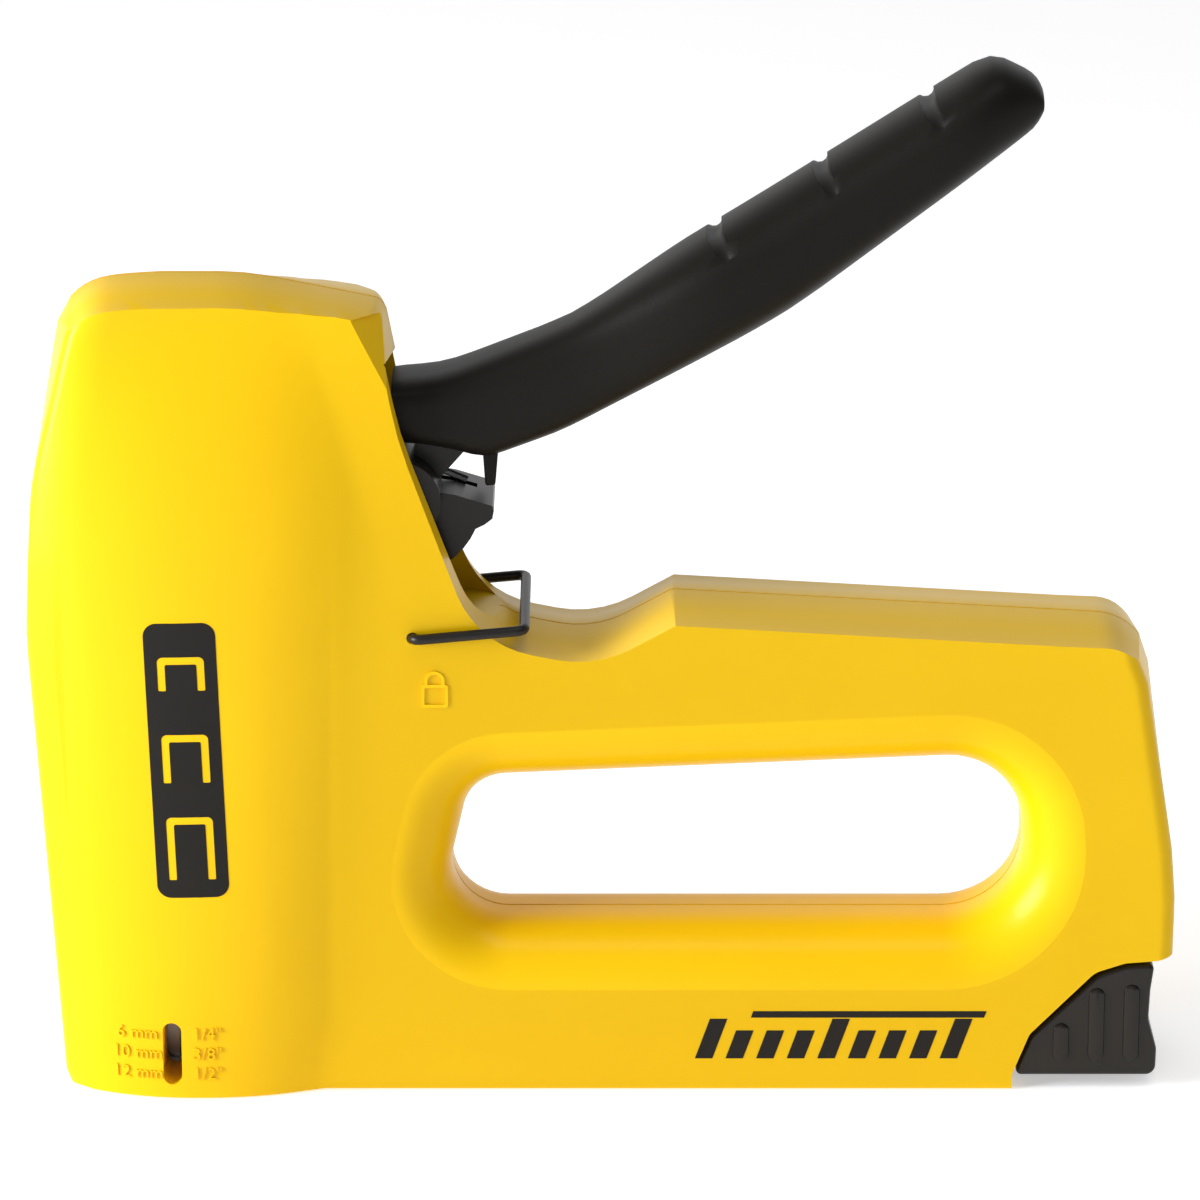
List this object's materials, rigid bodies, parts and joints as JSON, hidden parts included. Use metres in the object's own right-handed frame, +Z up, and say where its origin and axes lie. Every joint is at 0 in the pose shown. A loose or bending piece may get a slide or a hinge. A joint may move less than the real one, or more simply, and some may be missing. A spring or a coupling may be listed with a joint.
{
  "type": "manual staple gun",
  "caption": "Squeeze-lever staple gun with a die-cast body, finger opening, moulded lever, wire lock bail and pull-out staple magazine.",
  "frame": {"origin": "middle of the tool's length and width, on its flat base", "axes": "+X from the nose towards the hand, +Y towards the tool's right side, +Z up from the base to the lever"},
  "size_m": [0.182, 0.0374, 0.1658],
  "materials": {
    "cast_yellow": "satin enamel on die-cast aluminium",
    "black_moulding": "fine-grained moulded nylon",
    "knob_moulding": "semi-gloss moulded plastic",
    "steel": "bright rolled steel",
    "blackened_steel": "black oxide on steel",
    "spring_steel": "drawn spring wire",
    "hardened_steel": "ground hardened steel",
    "bumper_rubber": "moulded rubber"
  },
  "bodies": {
    "body": {"left_housing": "cast_yellow", "right_housing": "cast_yellow", "lever_pivot_pin": "steel", "spring_stop_pin": "steel", "dowel_pins": "steel", "housing_screws": "blackened_steel", "nose_plate": "hardened_steel", "spring_cap": "steel", "bumper": "bumper_rubber", "magazine_channel": "steel", "staple_core": "steel", "core_rivets": "steel", "channel_pins": "steel"},
    "lever": {"lever_core": "blackened_steel", "lever_grip": "black_moulding", "lever_rivets": "blackened_steel", "return_spring": "spring_steel"},
    "driver": {"spring_carrier": "hardened_steel", "driver_blade": "hardened_steel", "blade_rivets": "steel", "main_spring": "spring_steel"},
    "bail": {"lock_bail": "blackened_steel"},
    "magazine": {"magazine_knob": "knob_moulding", "pusher_rod": "steel", "rod_pin": "steel", "rod_clip": "spring_steel", "detent_spring": "spring_steel"},
    "pusher": {"pusher": "steel", "pusher_spring": "spring_steel"}
  },
  "joints": [
    {"name": "lever_squeeze", "type": "hinge", "parent": "body", "child": "lever", "pos_m": [-0.032, 0, 0.097], "axis": [0, 1, 0], "range_deg": [0, 29], "stiffness_Nm_per_rad": 3, "springref_deg": -8.59, "deforming": ["return_spring"]},
    {"name": "driver_lift", "type": "slide", "parent": "body", "child": "driver", "axis": [0, 0, 1], "range_m": [0, 0.0194], "deforming": ["main_spring"]},
    {"name": "bail_swing", "type": "hinge", "parent": "body", "child": "bail", "pos_m": [-0.03, 0, 0.076], "axis": [0, -1, 0], "range_deg": [0, 48.5]},
    {"name": "magazine_pull", "type": "slide", "parent": "body", "child": "magazine", "axis": [1, 0, 0], "range_m": [0, 0.105], "deforming": ["detent_spring"]},
    {"name": "pusher_feed", "type": "slide", "parent": "magazine", "child": "pusher", "axis": [1, 0, 0], "range_m": [0, 0.1], "stiffness_N_per_m": 20, "springref_m": -0.03, "deforming": ["pusher_spring"]}
  ],
  "couplings": [
    {"joint": "driver_lift", "follows": "lever_squeeze", "m_per_rad": 0.03809}
  ]
}
